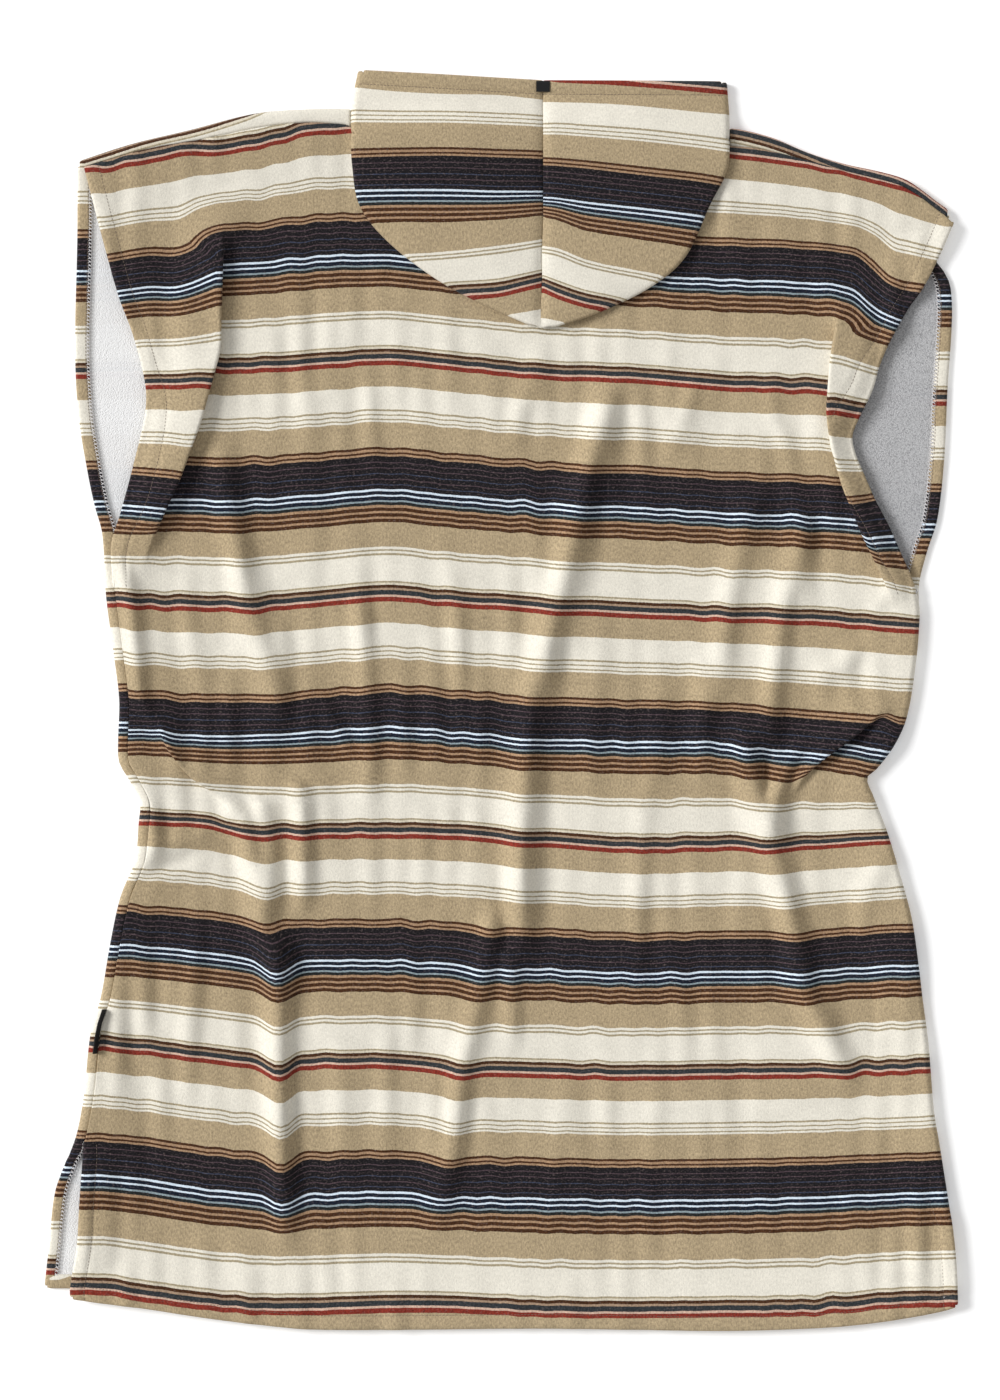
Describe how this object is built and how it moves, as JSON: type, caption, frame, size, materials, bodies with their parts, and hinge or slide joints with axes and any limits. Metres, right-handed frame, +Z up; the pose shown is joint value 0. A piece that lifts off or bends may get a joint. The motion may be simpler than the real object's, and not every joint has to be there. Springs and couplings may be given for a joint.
{
  "type": "hooded bath poncho",
  "caption": "Sleeveless hooded changing poncho of striped velour towelling, laid flat on its front with the hood turned down over its back.",
  "frame": {"origin": "on the surface it lies on, under the middle of the poncho", "axes": "+Y along the length towards the hood, +X to the right seen from above, +Z up"},
  "size_m": [0.802, 1.1064, 0.021],
  "materials": {
    "towelling": "striped cotton velour outside, pale terry loops inside",
    "label_tape": "plain woven tape"
  },
  "bodies": {
    "root": {"front_panel": "towelling", "back_panel": "towelling", "hood_left_half": "towelling", "hood_right_half": "towelling", "hood_label": "label_tape", "side_label": "label_tape"}
  },
  "joints": []
}
